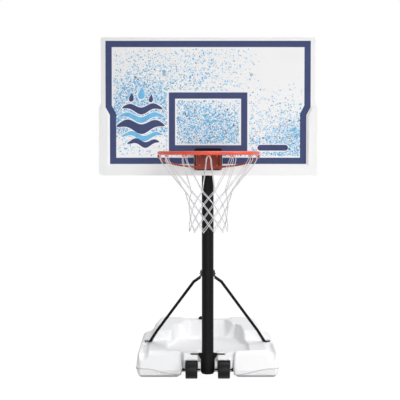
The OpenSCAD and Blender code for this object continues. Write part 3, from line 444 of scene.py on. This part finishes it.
def settle(points, rounds=3, e=0.4):
    """Moves points onto the field's surface."""
    for _ in range(rounds):
        x, y, z = points.T
        f = tank_field(x, y, z)
        g = np.stack([
            tank_field(x + e, y, z) - tank_field(x - e, y, z),
            tank_field(x, y + e, z) - tank_field(x, y - e, z),
            tank_field(x, y, z + e) - tank_field(x, y, z - e)], 1) / (2 * e)
        size = np.maximum((g * g).sum(1), 0.25)
        points = points - np.clip(f / size, -2, 2)[:, None] * g
    return points


# Grid that the field is sampled on, in millimetres
step = 5.0
start = np.array([-base_half - 12.3, -36.7, -8.9])
counts = [int(math.ceil(n / step)) for n in (2 * base_half + 26, base_rear + 50, block_top + 24)]
gx, gy, gz = [start[a] + step * np.arange(counts[a]) for a in range(3)]
field = tank_field(gx[:, None, None], gy[None, :, None], gz[None, None, :])
tank_points, tank_faces = surface_net(np.ascontiguousarray(field, np.float32), start, step)
tank_points = settle(tank_points)
tank_points[:, 2] = np.maximum(tank_points[:, 2], 0)
tank = make_piece("tank_moulding", tank_points, tank_faces.tolist(), white_tank, "base", "tank")
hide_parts("base_tank")


# Tubes
def frames_along(path):
    path = np.asarray(path, float)
    way = np.gradient(path, axis=0)
    way /= np.linalg.norm(way, axis=1)[:, None]
    side = np.zeros_like(way)
    guess = np.cross(way[0], (0.31, 0.2, 0.93))
    for i, w in enumerate(way):
        guess = guess - w * (guess @ w)
        guess /= np.linalg.norm(guess)
        side[i] = guess
    return path, way, side, np.cross(way, side)


def tube(path, r, sides=6, closed=False, offset=0.0, turns=None):
    """Points and faces of a tube; with an offset it winds about the path as one strand of a cord."""
    path, way, u, v = frames_along(path)
    n = len(path)
    if offset:
        path = path + offset * (np.cos(turns)[:, None] * u + np.sin(turns)[:, None] * v)
        path, way, u, v = frames_along(path)
    a = np.arange(sides) * 2 * math.pi / sides
    ring = np.cos(a)[None, :, None] * u[:, None] + np.sin(a)[None, :, None] * v[:, None]
    radius = np.broadcast_to(np.asarray(r, float), (n,))
    points = (path[:, None] + ring * radius[:, None, None]).reshape(-1, 3)
    faces = []
    for i in range(n if closed else n - 1):
        j = (i + 1) % n
        for k in range(sides):
            m = (k + 1) % sides
            faces.append((i * sides + k, i * sides + m, j * sides + m, j * sides + k))
    if not closed:
        faces.append(tuple(range(sides))[::-1])
        faces.append(tuple((n - 1) * sides + k for k in range(sides)))
    return points, faces


def gather(parts):
    points, faces, at = [], [], 0
    for p, f in parts:
        points.append(p)
        faces += [tuple(i + at for i in face) for face in f]
        at += len(p)
    return np.concatenate(points), faces


def resample(path, gap):
    path = np.asarray(path, float)
    run = np.concatenate([[0], np.cumsum(np.linalg.norm(np.diff(path, axis=0), axis=1))])
    n = max(3, int(run[-1] / gap) + 1)
    t = np.linspace(0, run[-1], n)
    return np.stack([np.interp(t, run, path[:, a]) for a in range(3)], 1), t


def ease(path, rounds):
    path = np.asarray(path, float).copy()
    for _ in range(rounds):
        path[1:-1] = (path[:-2] + 2 * path[1:-1] + path[2:]) / 4
    return path


# Parting line of the moulding, which dips towards the wheels on the front
def seam_path(side):
    outer = [
        (146, 30), (146, -12), (base_half, -12), (base_half, 690),
        (334, 792), (312, base_rear), (0, base_rear)]
    line, _ = resample([(px, py, 50) for px, py in outer], 6)
    line = ease(line, 14)
    line[:, 2] = seam_height(line[:, 0], line[:, 1]) + 1.5
    for _ in range(12):
        x, y, z = line.T
        f = tank_field(x, y, z)
        g = np.stack([tank_field(x + 1, y, z) - tank_field(x - 1, y, z),
                      tank_field(x, y + 1, z) - tank_field(x, y - 1, z)], 1) / 2
        line[:, :2] -= 0.8 * np.clip(f, -8, 8)[:, None] * g / np.maximum((g * g).sum(1), 0.3)[:, None]
    line = ease(line, 2)
    line[:, 0] *= side
    return line


seams = [tube(seam_path(side), 2.4, 8) for side in (-1, 1)]
# The bead is drawn in grey painted shade.
make_piece("tank_parting_line", *gather(seams), parting_line_shade, "base", "tank")


# Net: twelve loops through the hooks, whose cords cross and are knotted in seven rows
hooks = 12
last_row = 7
waist = 90
waist_row = 5
net_drop = 361
shoulder_drop = 165
knot_half = 2.8
cord_lay = 12
wire_r = (ring_hi.z - ring_lo.z) / 2 / MM
ring_r = (ring_hi.x - ring_lo.x) / 2 / MM - wire_r
hook_line = ring_r - 4.8
hook_z = rim_z - wire_r - 0.2
net_top = hook_z - 10.3
rows = [(hook_line, knot_half)]
row_step = (net_drop - knot_half - shoulder_drop) / (last_row - 1)
for row in range(1, last_row + 1):
    if row < waist_row:
        radius = waist + 26 * ((waist_row - row) / 4) ** 2
    else:
        radius = waist + 5 * (row - waist_row) / 2
    rows.append((radius, shoulder_drop + (row - 1) * row_step))


def around(radius, turn, z, side=0.0):
    c, s = math.cos(turn), math.sin(turn)
    return np.array([radius * c - side * s, rim_y + radius * s + side * c, z])


def net_cord(i, way, rng):
    """One cord, from its hook down through a knot in each row."""
    pitch = 2 * math.pi / hooks
    turn = i * pitch
    lift = 1.4 * way
    pts = [
        around(hook_line, turn, hook_z - 3.9),
        around(hook_line + 2.4 * way, turn, hook_z - 5.0, 3.6 * way),
        around(hook_line + 2.8 * way, turn, net_top - 2, 8.5 * way),
        around(hook_line - 1, turn, net_top - 14, 11.5 * way),
        around(hook_line - 12, turn, net_top - 32, 12.5 * way),
    ]
    for row in range(1, last_row + 1):
        radius, drop = rows[row]
        over = lift if row % 2 else -lift
        knot = around(radius + over * 0.6, turn + way * row * pitch / 2, net_top - drop)
        prev = pts[-1]
        middle = (prev + knot) / 2
        middle += rng.normal(0, 0.5, 3)
        if row > 1:
            middle += np.array([0, 0, -0.8])
        pts.append(middle)
        pts.append(knot)
    tip = around(rows[last_row][0], turn + way * last_row * pitch / 2, net_top - net_drop + 2.6)
    pts.append(tip)
    fine, _ = resample(pts, 3.4)
    fine = ease(fine, 5)
    return fine


def knot_at(centre, out, r=3.1):
    """A small overhand knot: a three-lobed closed tube pressed flat against the net."""
    up = np.array([0, 0, 1.0])
    side = np.cross(up, out)
    t = np.linspace(0, 2 * math.pi, 20, endpoint=False)
    a = (np.sin(t) + 2 * np.sin(2 * t)) / 3
    b = (np.cos(t) - 2 * np.cos(2 * t)) / 3
    c = -np.sin(3 * t)
    path = centre + r * (a[:, None] * side + 1.15 * b[:, None] * up + 0.45 * c[:, None] * out)
    path = np.concatenate([path, path[:1]])
    return tube(path, 1.3, 6)


rng = np.random.default_rng(11)
strands = []
for i in range(hooks):
    for way in (-1, 1):
        path = net_cord(i, way, rng)
        run = np.concatenate([[0], np.cumsum(np.linalg.norm(np.diff(path, axis=0), axis=1))])
        for k in range(3):
            turns = run * 2 * math.pi / cord_lay + k * 2 * math.pi / 3
            strands.append(tube(path, 1.05, 5, offset=0.95, turns=turns))
for row in range(1, last_row + 1):
    for i in range(hooks):
        turn = (i + (row % 2) / 2) * 2 * math.pi / hooks
        radius, drop = rows[row]
        if row == last_row:
            drop = net_drop - 3.4
        out = np.array([math.cos(turn), math.sin(turn), 0])
        strands.append(knot_at(around(radius, turn, net_top - drop), out, 2.0))
net = make_piece("net_cords", *gather(strands), cord_nylon, "mast", "net")
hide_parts("net")


# Print on the board's face: drops of ink, a simple wave motif and a plain plate, each a little proud
board_foot = board_lo.z / MM
half_low = print_hi.x / MM
half_high = board_hi.x / MM - 10 - 24
border_foot = print_lo.z / MM
border_top = print_hi.z / MM
step_z = board_foot + 350
border = [
    (-half_low, border_foot), (half_low, border_foot), (half_low, step_z - 41), (half_high, step_z),
    (half_high, border_top), (-half_high, border_top), (-half_high, step_z), (-half_low, step_z - 41)]
target = (-201, 201, rim_z + 8, rim_z + 310)


def field_sdf(x, z):
    return sharp_sdf(x, z, border)


def clear_of_lines(x, z, r):
    """True where a drop keeps off the printed lines and their white edges."""
    inside = field_sdf(x, z) < -32 - 6 - r
    dx = np.maximum(target[0] - x, x - target[1])
    dz = np.maximum(target[2] - z, z - target[3])
    box = np.maximum(dx, dz)
    return inside & ((box > 6 + r) | (box < -38 - r))


# Clouds of ink: place across and up the board, spread and strength
cloud = [
    (-440, 1450, 120, 0.75), (-330, 1360, 120, 0.9), (-450, 1350, 80, 0.6), (-360, 1540, 110, 0.27),
    (-250, 1600, 150, 0.20), (-60, 1570, 150, 0.14), (-240, 1480, 90, 0.38), (60, 1330, 100, 0.9),
    (-90, 1390, 110, 0.75), (-20, 1270, 120, 0.85), (130, 1300, 90, 0.5), (410, 1245, 100, 0.85),
    (480, 1310, 80, 0.5), (300, 1240, 90, 0.35), (420, 1400, 120, 0.13), (260, 1420, 110, 0.08),
    (60, 1640, 130, 0.10), (-400, 1240, 90, 0.16),
]


def density(x, z):
    total = np.full(x.shape, 0.035)
    for cx, cz, s, a in cloud:
        total = total + a * np.exp(-((x - cx) ** 2 + (z - cz) ** 2) / (s * s))
    empty = np.clip((x - 180) / 120, 0, 1) * np.clip((z - 1470) / 120, 0, 1)
    sparse = np.clip((1330 - z) / 34, 0, 1) * np.clip((-214 - x) / 6, 0, 1)
    return np.clip(total, 0, 1) * (1 - 0.92 * empty) * (1 - 0.8 * sparse)


rng = np.random.default_rng(7)


def blobs(count, small, large, power, depth, spread=1.0, bend=0.28):
    """Flat irregular drops scattered by the density map."""
    x = rng.uniform(-530, 530, count)
    z = rng.uniform(border_foot, border_top, count)
    r = small + (large - small) * rng.random(count) ** power
    keep = (rng.random(count) < density(x, z) * spread) & clear_of_lines(x, z, r)
    x, z, r = x[keep], z[keep], r[keep]
    points, faces, at = [], [], 0
    for cx, cz, cr in zip(x, z, r):
        n = 6 if cr < 3 else 9
        a = np.sort(rng.uniform(0, 2 * math.pi / n, n) * 0.7 + np.arange(n) * 2 * math.pi / n)
        size = cr * (1 + rng.normal(0, bend, n).clip(-0.5, 0.6))
        skew = rng.uniform(0.6, 1.0)
        tilt = rng.uniform(0, math.pi)
        px, pz = size * np.cos(a), size * np.sin(a) * skew
        qx = cx + px * math.cos(tilt) - pz * math.sin(tilt)
        qz = cz + px * math.sin(tilt) + pz * math.cos(tilt)
        y = np.full(n, board_face - depth - rng.random() * 0.05)
        points.append(np.stack([qx, y, qz], 1))
        faces.append(tuple(range(at, at + n)))
        at += n
    return np.concatenate(points), faces


for name, look, args in [
    ("ink_mist", pale_ink, (19000, 1.8, 4.8, 1.5, 0.08)),
    ("ink_sky", sky_ink, (16000, 1.4, 4.7, 2.2, 0.16)),
    ("ink_slate", slate_ink, (9500, 1.2, 3.3, 1.9, 0.24)),
    ("ink_large_drops", sky_ink, (300, 5.0, 10.5, 2.0, 0.32, 0.8, 0.22)),
    ("ink_large_specks", slate_ink, (260, 3.4, 6.0, 2.0, 0.36, 0.9, 0.22)),
]:
    make_piece(name, *blobs(*args), look, "mast", "print", smooth=False)


def plate(name, outline, depth, look, holes=()):
    """A flat filled outline on the board's face."""
    curve = bpy.data.curves.new(name, "CURVE")
    curve.dimensions = "2D"
    curve.fill_mode = "BOTH"
    for ring in (outline, *holes):
        line = curve.splines.new("POLY")
        line.points.add(len(ring) - 1)
        for point, (px, pz) in zip(line.points, ring):
            point.co = (px * MM, pz * MM, 0, 1)
        line.use_cyclic_u = True
    made = bpy.data.objects.new(name, curve)
    scene.collection.objects.link(made)
    bpy.context.view_layer.update()
    mesh = bpy.data.meshes.new_from_object(made.evaluated_get(bpy.context.evaluated_depsgraph_get()))
    flat = np.array([v.co for v in mesh.vertices])
    faces = [tuple(p.vertices) for p in mesh.polygons]
    bpy.data.objects.remove(made)
    points = np.stack([flat[:, 0] / MM, np.full(len(flat), board_face - depth), flat[:, 1] / MM], 1)
    return make_piece(name, points, faces, look, "mast", "print", smooth=False)


def wave_band(x0, x1, z, swing, wide, phase, grow=0.0):
    """Outline of a wavy ribbon with pointed ends."""
    t = np.linspace(0, 1, 60)
    x = x0 - grow + t * (x1 - x0 + 2 * grow)
    mid = z + swing * np.sin(t * 2 * math.pi * 1.5 + phase) * (0.5 + 0.5 * np.sin(t * math.pi))
    half = (wide / 2 + grow) * np.sin(np.clip(t, 0.002, 0.998) * math.pi) ** 0.55
    return list(zip(x, mid + half)) + list(zip(x[::-1], (mid - half)[::-1]))


def drop_shape(cx, cz, r, lean=0.0, grow=0.0):
    """Outline of a water drop with its tip up."""
    t = np.linspace(0, 2 * math.pi, 36, endpoint=False)
    rr = r + grow
    x = rr * np.sin(t) * np.sin(t / 2) ** 1.5
    z = rr * np.cos(t) * 1.35
    return list(zip(cx + x + lean * z, cz + z))


bands = [
    (-440, -232, 1448, 14, 36, 0.3, navy_ink), (-462, -222, 1404, 16, 30, 0.1, sky_ink),
    (-470, -222, 1358, 17, 50, -0.2, navy_ink), (-445, -232, 1308, 15, 28, -0.5, sky_ink),
    (-415, -250, 1272, 12, 30, -0.7, navy_ink),
]
for k, (x0, x1, z, swing, wide, phase, look) in enumerate(bands):
    plate("wave_edge_%d" % k, wave_band(x0, x1, z, swing, wide, phase, 4.5), 0.38 + 0.01 * k, white_ink)
    plate("wave_%d" % k, wave_band(x0, x1, z, swing, wide, phase), 0.45 + 0.005 * k, look)
drops = [(-392, 1506, 18, navy_ink), (-340, 1528, 25, sky_ink), (-292, 1500, 16, navy_ink)]
for k, (cx, cz, r, look) in enumerate(drops):
    plate("drop_edge_%d" % k, drop_shape(cx, cz, r, 0.1, 4.0), 0.38, white_ink)
    plate("drop_%d" % k, drop_shape(cx, cz, r, 0.1), 0.45, look)


def pill(x0, x1, z0, z1, grow=0.0):
    r = (z1 - z0) / 2 + grow
    cz = (z0 + z1) / 2
    t = np.linspace(-math.pi / 2, math.pi / 2, 14)
    right = [(x1 - r + grow + r * math.cos(a), cz + r * math.sin(a)) for a in t]
    left = [(x0 + r - grow - r * math.cos(a), cz - r * math.sin(a)) for a in t]
    return right + left


backing_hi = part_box("rim_backing")[1]
bare = (backing_hi.x / MM + 3, target[2], min(target[2] + 32, backing_hi.z / MM + 6))
bare_outline = [(-bare[0], bare[1]), (bare[0], bare[1]), (bare[0], bare[2]), (-bare[0], bare[2])]
plate("target_line_foot", bare_outline, 0.1, navy_ink)
plate("plate_edge", pill(253, 410, 1231, 1261, 4.5), 0.38, white_ink)
plate("plate_plain", pill(253, 410, 1231, 1261), 0.45, navy_ink)


# Weld beads where the ring meets its bracket
bracket_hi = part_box("rim_bracket")[1]
welds = []
for side in (-1, 1):
    a = math.asin((bracket_hi.x / MM - 3) / (ring_r + 8))
    arc = [a - 0.04 + 0.008 * k for k in range(11)]
    for z in (-5.5, 5.5):
        reach = ring_r + 6.5
        path = [(side * reach * math.sin(t), rim_y + reach * math.cos(t), rim_z + z) for t in arc]
        lumps = 2.4 + 0.5 * np.sin(np.arange(11) * 2.1)
        welds.append(tube(path, lumps, 7))
make_piece("rim_welds", *gather(welds), orange_paint, "mast", "rim_paint")


# Floor, world and lamps
def light_path_sum(tree):
    """One where the camera, a gloss or a clear material looks, and nought for light on the object."""
    path = tree.nodes.new("ShaderNodeLightPath")
    out = path.outputs["Is Camera Ray"]
    for name in ("Is Glossy Ray", "Is Transmission Ray"):
        add = tree.nodes.new("ShaderNodeMath")
        add.operation = "MAXIMUM"
        tree.links.new(out, add.inputs[0])
        tree.links.new(path.outputs[name], add.inputs[1])
        out = add.outputs[0]
    return out


floor_mesh = bpy.data.meshes.new("floor")
floor_half = 40.0
floor_z = -0.0008
floor_corners = [(a * floor_half, b * floor_half, floor_z) for a, b in ((-1, -1), (1, -1), (1, 1), (-1, 1))]
floor_mesh.from_pydata(floor_corners, [], [(0, 1, 2, 3)])
floor = bpy.data.objects.new("floor", floor_mesh)
scene.collection.objects.link(floor)
floor_mat = bpy.data.materials.new("floor_paper")
floor_mat.use_nodes = True
tree = floor_mat.node_tree
tree.nodes.clear()
out = tree.nodes.new("ShaderNodeOutputMaterial")
mix = tree.nodes.new("ShaderNodeMixShader")
share = tree.nodes.new("ShaderNodeMath")
share.operation = "MULTIPLY"
share.inputs[1].default_value = 0.80
paper = tree.nodes.new("ShaderNodeBsdfDiffuse")
paper.inputs["Color"].default_value = (0.62, 0.62, 0.62, 1)
glow = tree.nodes.new("ShaderNodeEmission")
glow.inputs["Color"].default_value = (1, 1, 1, 1)
glow.inputs["Strength"].default_value = 1.21
tree.links.new(light_path_sum(tree), share.inputs[0])
tree.links.new(share.outputs[0], mix.inputs["Fac"])
tree.links.new(paper.outputs[0], mix.inputs[1])
tree.links.new(glow.outputs[0], mix.inputs[2])
tree.links.new(mix.outputs[0], out.inputs["Surface"])
floor_mesh.materials.append(floor_mat)

world = bpy.data.worlds.new("studio")
world.use_nodes = True
scene.world = world
tree = world.node_tree
tree.nodes.clear()
out = tree.nodes.new("ShaderNodeOutputWorld")
mix = tree.nodes.new("ShaderNodeMixShader")
dim = tree.nodes.new("ShaderNodeBackground")
dim.inputs["Color"].default_value = (0.98, 0.99, 1.0, 1)
dim.inputs["Strength"].default_value = 0.29
bright = tree.nodes.new("ShaderNodeBackground")
bright.inputs["Color"].default_value = (1, 1, 1, 1)
bright.inputs["Strength"].default_value = 1.0
tree.links.new(light_path_sum(tree), mix.inputs["Fac"])
tree.links.new(dim.outputs[0], mix.inputs[1])
tree.links.new(bright.outputs[0], mix.inputs[2])
tree.links.new(mix.outputs[0], out.inputs["Surface"])


def lamp(name, at, aim, size, watts, spread=180):
    data = bpy.data.lights.new(name, "AREA")
    data.shape = "SQUARE"
    data.size = size
    data.energy = watts
    data.spread = math.radians(spread)
    made = bpy.data.objects.new(name, data)
    made.location = at
    made.rotation_euler = (Vector(aim) - Vector(at)).to_track_quat("-Z", "Y").to_euler()
    scene.collection.objects.link(made)


lamp("key", (5.0, -2.8, 3.0), (0, 0, 0.6), 1.5, 130)
lamp("front", (1.3, -7.0, 1.7), (0, 0, 1.0), 2.6, 154)
lamp("low_front", (0.3, -6.2, 1.3), (0, 0, -0.96), 1.2, 5.0, 36)
lamp("board_fill", (-1.0, -3.1, 0.6), (-0.15, -0.35, 1.13), 0.8, 0.6, 36)
lamp("top", (0.9, 0.9, 5.0), (0, 0.4, 0.2), 2.6, 108)
